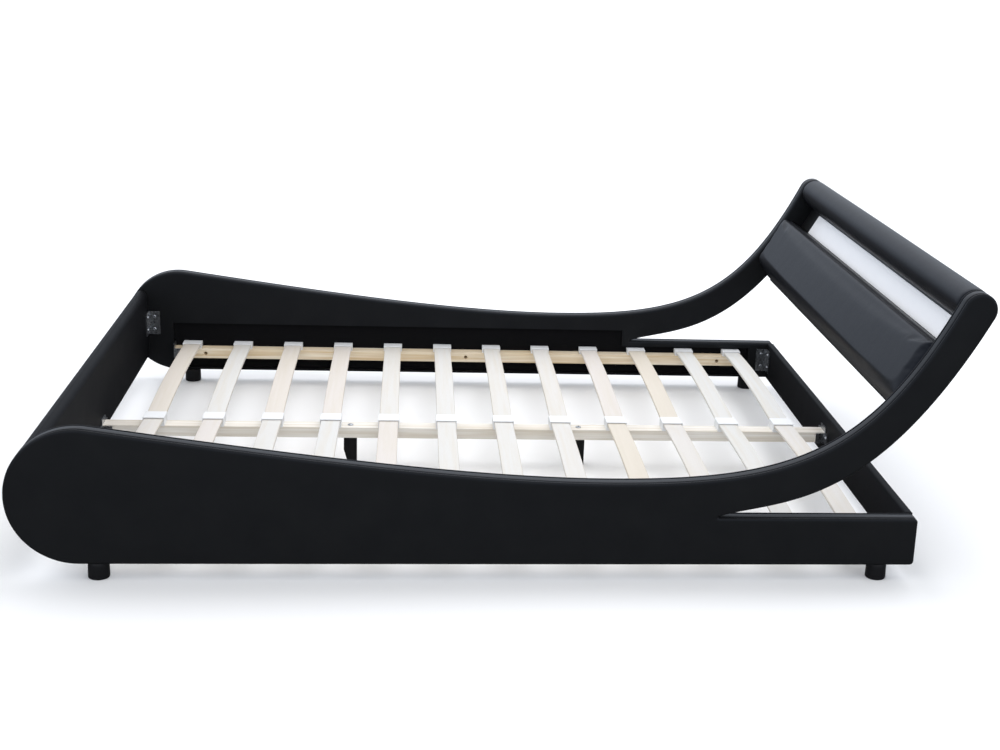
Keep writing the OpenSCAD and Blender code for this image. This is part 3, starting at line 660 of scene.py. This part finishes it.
def blown_up(mesh, pressure, cap, held):
    """Cloth for 20 frames. A point's move is cut to the cap: move times cap / length."""
    scene = bpy.context.scene
    start = coordinates(mesh)
    obj = bpy.data.objects.new("blown_up", mesh)
    scene.collection.objects.link(obj)
    pin = obj.vertex_groups.new(name="held")
    pin.add(np.flatnonzero(held(start)).tolist(), 1.0, "REPLACE")
    cloth = obj.modifiers.new("cloth", "CLOTH")
    cloth.settings.vertex_group_mass = "held"
    cloth.settings.use_pressure = True
    cloth.settings.uniform_pressure_force = pressure
    cloth.settings.effector_weights.gravity = 0
    cloth.settings.bending_stiffness = 2.0
    cloth.point_cache.frame_start, cloth.point_cache.frame_end = 1, 20
    for number in range(1, 21):
        scene.frame_set(number)
    result = evaluated(obj)
    scene.frame_set(1)
    bpy.data.objects.remove(obj)
    move = coordinates(result) - start
    length = np.linalg.norm(move, axis=1)
    print("largest cloth move", round(float(length.max()) * 1000, 1), "mm")
    capped = start + move * np.minimum(1, cap / np.maximum(length, 1e-9))[:, None]
    result.vertices.foreach_set("co", capped.astype(np.float32).ravel())
    return result


def kept_inside(mesh, clearance=0.4 * MM):
    """Points that swelled past the arms' inner faces are brought back to them."""
    co = coordinates(mesh)
    co[:, 0] = np.clip(co[:, 0], -half_in + clearance, half_in - clearance)
    mesh.vertices.foreach_set("co", co.astype(np.float32).ravel())
    mesh.update()


# distance from a pad's end, and inset, in mm: soft foam turns in further than a board's edge
SOFT_END = [(0, 6), (0.6, 4), (2, 2), (4, 0.8), (7, 0.2), (12, 0)]


def foam_pad(name, outline, node, voxel, pressure, cap, held):
    """An outline carried between the arms, evened, blown up and finished."""
    end = half_in - 0.8 * MM
    rings = edge_rings(-end, end, SOFT_END)
    mesh = evened(mesh_of(name, [leaning(skin(outline, rings))]), voxel)
    mesh = blown_up(mesh, pressure, cap, held)
    kept_inside(mesh)
    mesh.name = name
    pad = piece(name, mesh, leather_soft_painted_shade_and_sheen, [node], smooth=180)
    finer = pad.modifiers.new("finer", "SUBSURF")
    finer.levels = finer.render_levels = 1
    print(name, "squares", len(mesh.polygons))
    return pad


# %% Roll
roll_r = bulb_r + 1 * MM
# the roll's leather is folded under its board, which it laps by this much
under_fold = 3.6 * MM
# where the round part starts and ends, in degrees from straight back
round_start, round_end = 258, -16


def roll_held(co):
    """The roll is fixed along its board and glued at the arms."""
    deep, high = local(co)
    return (deep > board_depth - 8 * MM) | (np.abs(co[:, 0]) > half_in - 7 * MM)


roll_outline = np.vstack([
    arc(np.zeros(2), roll_r, round_start, round_end, 56),
    [[board_depth, -12.5 * MM], [board_depth, -bulb_r], [18 * MM, -bulb_r],
     [10 * MM, -bulb_r - under_fold], [0, -bulb_r - under_fold]],
])
foam_pad("headboard_roll_pad", roll_outline, "headboard_roll", voxel=5 * MM, pressure=4.0,
         cap=4 * MM, held=roll_held)

# %% Cushion
# depth of its face and back, and heights of its top, its lower edges and the rail behind it
front, top, low, back_low = -40.5 * MM, -118 * MM, -279 * MM, -321 * MM
back, rail_u = 38.6 * MM, -126 * MM
cushion_outline = rounded(
    [[front, top], [9 * MM, top], [17 * MM, rail_u], [back, rail_u], [back, back_low],
     [front + 9 * MM, low - 9 * MM], [front, low + 5 * MM]],
    [8 * MM, 2 * MM, 1 * MM, 1 * MM, 1 * MM, 9 * MM, 8 * MM])


def cushion_held(co):
    """The cushion's cover is stapled along its board's edges, above, below and behind."""
    deep, high = local(co)
    under = (high < low - 4 * MM) & (deep > front + 16 * MM)
    return ((deep > -18 * MM) & (high > top - 8 * MM)) | (deep > 8 * MM) | under


foam_pad("headboard_cushion_pad", cushion_outline, "headboard_cushion", voxel=6.8 * MM,
         pressure=4.0, cap=5 * MM, held=cushion_held)

# %% [markdown]
# ## Hard pieces with eased edges
#
# No sawn board or bent plate has a knife edge. A copy of each CAD part is merged to clean
# faces and its edges are eased by a bevel as wide as the real one: a plane takes a
# millimetre off pine, and a press leaves half a millimetre on steel. Modelling these again
# from nothing would only risk a hole or a tab in the wrong place.

# %% Ease the edges of a CAD part
def clean_copy(nodes):
    """The CAD parts as one mesh: doubled points merged, and flat triangles joined."""
    work = bmesh.new()
    for node in nodes:
        work.from_mesh(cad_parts[node].data)
    bmesh.ops.remove_doubles(work, verts=work.verts, dist=0.002 * MM)
    bmesh.ops.dissolve_limit(work, angle_limit=math.radians(0.2), verts=work.verts,
                             edges=work.edges)
    mesh = bpy.data.meshes.new(nodes[0])
    work.to_mesh(mesh)
    work.free()
    return mesh


def eased(name, nodes, finish, width, segments=2):
    """A piece that stands for CAD parts, with each sharp edge bevelled by a width in mm."""
    obj = piece(name, clean_copy(nodes), finish, nodes)
    ease = obj.modifiers.new("ease", "BEVEL")
    ease.width, ease.segments = width * MM, segments
    ease.limit_method, ease.angle_limit = "ANGLE", math.radians(40)
    ease.use_clamp_overlap = True
    ease.harden_normals = True
    return obj


SIDES = ("left", "right")
for s in SIDES:
    eased("ledger_eased_" + s, ["ledger_" + s], pine_along_y, 1.0)
    eased("slat_caps_moulded_" + s, ["slat_caps_" + s], white_plastic, 0.9)
eased("centre_rail_eased", ["centre_rail"], rail_pine_painted_light, 1.5)
eased("slat_holders_moulded", ["slat_holders"], white_plastic, 0.9)
for end in ("foot", "head"):
    eased("centre_leg_turned_" + end, ["centre_leg_" + end], stained_wood, 1.5)
    eased("rail_hanger_" + end, ["rail_bracket_" + end], zinc, 0.5)
    for s in SIDES:
        eased(f"corner_angle_{end}_{s}", [f"corner_bracket_{end}_{s}"], zinc, 0.5)
eased("ledger_clips_bent", ["ledger_end_clips"], zinc, 0.5)
eased("recess_liner_wrapped", ["recess_liner"], leather, 0.8)
eased("light_diffuser_moulded", ["light_diffuser"], opal, 1.2, 3)
eased("power_socket_moulded", ["power_inlet"], black_plastic, 0.6)
eased("rear_cloth_cover", ["headboard_rear_cover"], lining_cloth, 0.6)
print("eased pieces made")

# %% [markdown]
# ## Slats
#
# Each half slat is bent upwards in an arc, and its long edges are rounded where they were
# sanded. A straight slat with a Simple Deform modifier would stretch its own grain. Here a
# rounded rectangle is carried along the arc: at each station it is set square to the arc, so
# the slat keeps its thickness.

# %% One half slat
def slat_grid(x0, x1, y, z_end, bow, width, thick, stations=28, soft=2 * MM):
    """Section points [y, t] carried along an arc over x0 to x1 that rises by bow. At angle
    a from the arc's top: x = middle + (R + t) sin a, z = z_end - R cos(end) + (R + t) cos a."""
    span = x1 - x0
    radius = (span**2 / 4 + bow**2) / (2 * bow)
    reach = math.asin(span / 2 / radius)
    section = rounded([[-width / 2, 0], [-width / 2, thick], [width / 2, thick],
                       [width / 2, 0]], [soft] * 4, 4)
    a = np.linspace(-reach, reach, stations)[:, None]
    t = section[None, :, 1]
    x = (x0 + x1) / 2 + (radius + t) * np.sin(a)
    z = z_end - radius * math.cos(reach) + (radius + t) * np.cos(a)
    return np.stack([x, np.broadcast_to(y + section[:, 0], x.shape), z], -1), thick - t


# %% Twelve rows of two halves
tones = np.random.default_rng(7).random((12, 2))
slat_thick, slat_bow = 8 * MM, 12 * MM
for row in range(1, 13):
    node = f"slat_row_{row}"
    low, high = corners(node)
    y, width = (low[1] + high[1]) / 2, high[1] - low[1]
    inner = 3 * MM
    outer = high[0] - slat_thick * 2 * slat_bow / (high[0] - inner)
    z_end = high[2] - slat_thick - slat_bow
    grids, deeps, tone = [], [], []
    for half, sign in enumerate((1, -1)):
        g, deep = slat_grid(inner, outer, y, z_end, slat_bow, width, slat_thick)
        grids.append(g * [sign, 1, 1])
        deeps.append(np.broadcast_to(deep, g.shape[:2]).ravel())
        tone.append(np.full(g.shape[0] * g.shape[1], tones[row - 1, half]))
    mesh = mesh_of(f"slats_{row}", grids)
    mesh.attributes.new("tone", "FLOAT", "POINT").data.foreach_set("value", np.concatenate(tone))
    mesh.attributes.new("depth", "FLOAT", "POINT").data.foreach_set("value",
                                                                   np.concatenate(deeps))
    piece(f"slats_{row}", mesh, birch, [node], smooth=50)
print("slat rows made, last one ends at x", outer)

# %% [markdown]
# ## Bolts and screws
#
# A machine bolt has a domed head with a hexagon socket. Cutting the socket with a boolean
# would leave ragged faces, so the section is turned round its axis and the rings of the
# socket follow a hexagon instead of a circle. The places and sizes come from the CAD solids:
# each one's longest way is its axis, and the end where it is thicker is its head.

# %% Separate the solids of a CAD part
def solids(node):
    """The corner points of each separate solid of a CAD node."""
    work = bmesh.new()
    work.from_mesh(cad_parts[node].data)
    bmesh.ops.remove_doubles(work, verts=work.verts, dist=0.002 * MM)
    left, found = set(work.verts), []
    while left:
        group, edge = set(), {left.pop()}
        while edge:
            group |= edge
            edge = {e.other_vert(v) for v in edge for e in v.link_edges} - group
        left -= group
        found.append(np.array([v.co[:] for v in group]))
    work.free()
    return found


def bolt_grid(points, around=36):
    """Rings turned round the solid's longest axis. A socket ring's radius is the hexagon's
    half width / cos(angle from the nearest flat)."""
    low, high = points.min(0), points.max(0)
    axis = int(np.argmax(high - low))
    others = [i for i in range(3) if i != axis]
    centre = (low + high) / 2
    away = np.linalg.norm(points[:, others] - centre[others], axis=1)
    head_r = away.max()
    head_points = points[away > head_r * 0.95]
    length = high[axis] - low[axis]
    at_high = head_points[:, axis].mean() > centre[axis]
    shank_r = away[np.abs(points[:, axis] - (low if at_high else high)[axis]) < 1e-5].max()
    head_h = np.ptp(head_points[:, axis])
    far, way = ((high, 1) if at_high else (low, -1))
    flat_half = head_r * 0.42
    # height below the head's top and radius, both in metres; a negative radius is a hexagon
    rings = np.array([
        (length, shank_r * 0.8), (length - shank_r * 0.2, shank_r), (head_h, shank_r),
        (head_h, head_r * 0.97), (head_h * 0.9, head_r), (head_h * 0.5, head_r * 0.98),
        (head_h * 0.2, head_r * 0.88), (head_h * 0.03, head_r * 0.68), (0, head_r * 0.56),
        (head_h * 0.05, -flat_half), (head_h * 0.65, -flat_half), (head_h * 0.7, 0.1 * MM),
    ])
    a = np.linspace(0, 2 * math.pi, around, endpoint=False)
    flat = np.cos((a + math.pi / 6) % (math.pi / 3) - math.pi / 6)
    r = np.where(rings[:, 1:] < 0, -rings[:, 1:] / flat, rings[:, 1:])
    grid = np.empty((len(rings), around, 3))
    grid[..., axis] = (far[axis] - way * rings[:, 0])[:, None]
    grid[..., others[0]] = centre[others[0]] + r * np.cos(a)
    grid[..., others[1]] = centre[others[1]] + r * np.sin(a)
    return grid


for node, finish, slot in (
    ("corner_bolts", zinc, "steel"), ("rail_bracket_screws", zinc, "steel"),
    ("centre_leg_bolts", zinc, "steel"), ("headboard_bolts", zinc, "steel"),
    ("ledger_screws", yellow_zinc, "screw_steel"),
):
    turned = [bolt_grid(p) for p in solids(node)]
    piece(node + "_turned", mesh_of(node + "_turned", turned), finish, [node], smooth=40)
    print(node, len(turned))

# %% [markdown]
# ## Feet
#
# Each foot is a moulded plastic cup with a rounded lower rim and a shallow draught, the
# slight taper that lets it leave the mould. A cylinder with a bevel has no draught, so its
# section is turned round the stud's axis.

# %% Four feet
def foot_grid(node, around=64):
    """Rings of the foot's section: inset in mm at each height, from the floor upwards."""
    low, high = corners(node)
    r = (high[0] - low[0]) / 2
    middle = (low + high) / 2
    section = np.array([(0, 12), (0, 3.2), (0.4, 1.7), (1.2, 0.7), (2.6, 0.15), (5, 0),
                        (30, 0.5), (38.6, 0.6), (39.6, 1.0), (41, 3.0)]) * MM
    section[-1, 0] = high[2]
    a = np.linspace(0, 2 * math.pi, around, endpoint=False)
    grid = np.empty((len(section), around, 3))
    grid[..., 0] = middle[0] + (r - section[:, 1:]) * np.cos(a)
    grid[..., 1] = middle[1] + (r - section[:, 1:]) * np.sin(a)
    grid[..., 2] = section[:, :1]
    return grid


for end in ("front", "rear"):
    for s in SIDES:
        node = f"foot_{end}_{s}"
        piece(node + "_moulded", mesh_of(node, [foot_grid(node)]), black_plastic,
              [node])
print("feet made")

# %% [markdown]
# ## Parts that keep their CAD shape
#
# What is left is inside the bed or already has the right shape, so it isn't made again: a
# finish goes into each material slot. The hidden CAD solids get theirs too.

# %% Finishes of the CAD parts
INSIDE = {
    leather: ["side_cover_left", "side_cover_right", "foot_rail_cover", "head_rail_cover",
              "recess_liner"],
    leather_soft_painted_shade_and_sheen: ["headboard_roll", "headboard_cushion"],
    lining_cloth: ["side_lining_left", "side_lining_right", "headboard_rear_cover"],
    plywood: ["side_board_left", "side_board_right"],
    black_plywood: ["foot_rail_board", "head_rail_board", "headboard_frame"],
    pine_along_y: ["ledger_left", "ledger_right"],
    rail_pine_painted_light: ["centre_rail"],
    stained_wood: ["centre_leg_foot", "centre_leg_head"],
    white_plastic: ["slat_caps_left", "slat_caps_right", "slat_holders"],
    black_plastic: ["power_inlet", "led_lead"],
    opal: ["light_diffuser"],
    circuit: ["led_strip"],
    yellow_zinc: ["ledger_screws"],
}
finish_of = {node: finish for finish, nodes in INSIDE.items() for node in nodes}
for node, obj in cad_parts.items():
    finish = finish_of.get(node)
    if finish is None and node.startswith("slat_row"):
        finish = birch
    if finish is None and node.startswith("foot_"):
        finish = zinc if node == "foot_studs" else black_plastic
    finish = finish or zinc
    if not obj.data.materials:
        obj.data.materials.append(finish)
    for i in range(len(obj.data.materials)):
        obj.data.materials[i] = finish
print("CAD parts finished:", len(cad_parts))

# %% [markdown]
# ## Floor, light and camera
#
# The bed stands on a wide pale floor in front of white paper. A bright, slightly cool sky
# gives the even light of a white studio and the sheen on every upward edge, and one large
# soft lamp overhead draws the highlight along the roll. Small lamps would be easier to aim,
# but in black leather each would show as a spot.

# %% Floor
floor_mesh = bpy.data.meshes.new("floor")
reach = 60.0
floor_mesh.from_pydata([(-reach, -reach, 0), (reach, -reach, 0), (reach, reach, 0),
                        (-reach, reach, 0)], [], [(0, 1, 2, 3)])
floor = bpy.data.objects.new("floor", floor_mesh)
bpy.context.scene.collection.objects.link(floor)
floor_paint, tree, shader, place = new_finish("matt_white_floor", {
    "Roughness": 0.9, "Specular IOR Level": 0.1,
})
haze = add(tree, "TexNoise", {"Vector": place, "Scale": 0.5, "Detail": 2.0})
tone = add(tree, "Mix", {"Factor": haze.outputs["Fac"], "A": colour("#f6f6f5"),
                         "B": colour("#fafaf9")}, data_type="RGBA")
tree.links.new(tone.outputs["Result"], shader.inputs["Base Color"])
floor_mesh.materials.append(floor_paint)
# a dull floor: its light falls on the bed, but no mirror image of it shows in the leather
floor.visible_glossy = False

# %% Backdrop
def dome_mesh(name, radius, rings=12, around=48):
    """Part of a sphere: x and y are radius cos(b) times cos(a) and sin(a), z is radius
    sin(b), for a round the sky and b from the floor to nearly overhead."""
    a = np.linspace(0, 2 * math.pi, around, endpoint=False)
    b = np.radians(np.linspace(-1, 89, rings))[:, None]
    grid = radius * np.stack([np.cos(b) * np.cos(a), np.cos(b) * np.sin(a),
                              np.sin(b) * np.ones_like(a)], -1)
    k = np.arange(rings * around).reshape(rings, around)
    turned = np.roll(k, -1, 1)
    quads = np.stack([k[:-1], k[1:], turned[1:], turned[:-1]], -1).reshape(-1, 4)
    mesh = bpy.data.meshes.new(name)
    mesh.from_pydata(grid.reshape(-1, 3).tolist(), [], quads.tolist() + [k[-1].tolist()])
    return mesh


backdrop = bpy.data.objects.new("backdrop", dome_mesh("backdrop", 58.0))
bpy.context.scene.collection.objects.link(backdrop)
paper, tree, shader, place = new_finish("white_backdrop_paper", {
    "Base Color": colour("#000000"), "Roughness": 1.0, "Specular IOR Level": 0.0,
    "Emission Color": colour("#fdfdfe"), "Emission Strength": 1.0,
})
backdrop.data.materials.append(paper)
# the paper is only looked at: it neither lights the bed nor shows in its gloss
for sees in ("visible_diffuse", "visible_glossy", "visible_shadow", "visible_transmission"):
    setattr(backdrop, sees, False)

# %% Light
sky = bpy.data.worlds.new("studio")
sky.use_nodes = True
tree = sky.node_tree
glow = tree.nodes["Background"]
way = add(tree, "SeparateXYZ", {"Vector": add(tree, "TexCoord").outputs["Generated"]})
# the sky's colour by height: a grey ground, a cool band above the horizon, a warmer top
height = add(tree, "MapRange", {"Value": way.outputs["Z"], "From Min": -1.0})
bands = add(tree, "ValToRGB", {"Fac": height.outputs["Result"]})
stops = bands.color_ramp
stops.elements[0].position, stops.elements[0].color = 0.47, colour("#4c4c4e")
stops.elements[1].position, stops.elements[1].color = 1.0, colour("#d2cec8")
for position, tint in ((0.51, "#a9b1bd"), (0.56, "#c9d4e4"), (0.62, "#eaf3ff"),
                       (0.78, "#f2f6ff")):
    stops.elements.new(position).color = colour(tint)
tree.links.new(bands.outputs["Color"], glow.inputs["Color"])
glow.inputs["Strength"].default_value = 1.5
bpy.context.scene.world = sky


def soft_lamp(name, place, target, size, power, tint):
    """A square lamp of a size in metres that faces its target."""
    data = bpy.data.lights.new(name, "AREA")
    data.shape, data.size, data.energy = "SQUARE", size, power
    data.color = colour(tint)[:3]
    lamp = bpy.data.objects.new(name, data)
    bpy.context.scene.collection.objects.link(lamp)
    turn = (Vector(target) - Vector(place)).to_track_quat("-Z", "Y").to_matrix().to_4x4()
    lamp.matrix_world = Matrix.Translation(place) @ turn
    lamp.visible_camera = False
    return lamp


soft_lamp("overhead", (-1.0, 0.6, 3.6), (0, 0.2, 0.2), 3.0, 60, "#f4f7ff")
bpy.context.scene.view_settings.view_transform = "Standard"

# %% Camera
# the eye's place in metres, and its turns in radians
eye = np.array([4.17, -0.2234, 1.5168])
yaw, pitch, tilt = 0.1097, 0.2760, 0.0454
view_width = 36.0
focal = 1.53734 * view_width
forward = np.array([-math.cos(yaw) * math.cos(pitch), math.sin(yaw) * math.cos(pitch),
                    -math.sin(pitch)])
level = np.array([math.sin(yaw), math.cos(yaw), 0.0])
upright = np.cross(level, forward)
across = math.cos(tilt) * level + math.sin(tilt) * upright
upwards = -math.sin(tilt) * level + math.cos(tilt) * upright
camera_data = bpy.data.cameras.new("camera")
camera_data.sensor_width, camera_data.lens = view_width, focal
camera_data.shift_x, camera_data.shift_y = -0.07354, -0.01993
camera_data.clip_end = 200.0
camera = bpy.data.objects.new("camera", camera_data)
bpy.context.scene.collection.objects.link(camera)
camera.matrix_world = Matrix([
    [across[0], upwards[0], -forward[0], eye[0]],
    [across[1], upwards[1], -forward[1], eye[1]],
    [across[2], upwards[2], -forward[2], eye[2]],
    [0, 0, 0, 1],
])
bpy.context.scene.camera = camera
print("camera at", eye.tolist(), "lens", round(focal, 2))
